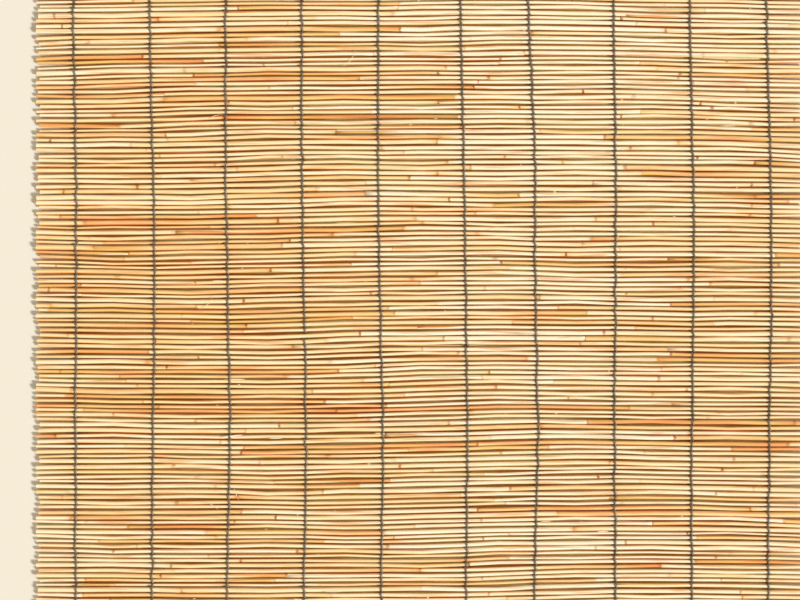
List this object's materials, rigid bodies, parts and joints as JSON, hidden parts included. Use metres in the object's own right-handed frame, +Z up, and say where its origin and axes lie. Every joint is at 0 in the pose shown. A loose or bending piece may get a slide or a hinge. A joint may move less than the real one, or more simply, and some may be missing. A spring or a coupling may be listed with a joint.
{
  "type": "reed screening mat",
  "caption": "Reed screening unrolled flat: thin peeled reeds side by side, bound by evenly spaced rows of twisted wire.",
  "frame": {"origin": "on the floor, under the middle of the unrolled mat", "axes": "+X along the reeds, +Y along the mat's unrolled length, +Z up out of its face"},
  "size_m": [1, 3.044, 0.0102],
  "materials": {
    "reed": "dry peeled reed, pale straw to orange brown, low sheen",
    "wire": "galvanised, dull dark grey"
  },
  "bodies": {
    "root": {"reeds_01": "reed", "reeds_02": "reed", "reeds_03": "reed", "reeds_04": "reed", "reeds_05": "reed", "reeds_06": "reed", "reeds_07": "reed", "reeds_08": "reed", "reeds_09": "reed", "reeds_10": "reed", "reeds_11": "reed", "reeds_12": "reed", "reeds_13": "reed", "reeds_14": "reed", "reeds_15": "reed", "reeds_16": "reed", "reeds_17": "reed", "reeds_18": "reed", "reeds_19": "reed", "reeds_20": "reed", "front_wire_01": "wire", "front_wire_02": "wire", "front_wire_03": "wire", "front_wire_04": "wire", "front_wire_05": "wire", "front_wire_06": "wire", "front_wire_07": "wire", "front_wire_08": "wire", "front_wire_09": "wire", "front_wire_10": "wire", "back_wire_01": "wire", "back_wire_02": "wire", "back_wire_03": "wire", "back_wire_04": "wire", "back_wire_05": "wire", "back_wire_06": "wire", "back_wire_07": "wire", "back_wire_08": "wire", "back_wire_09": "wire", "back_wire_10": "wire"}
  },
  "joints": []
}
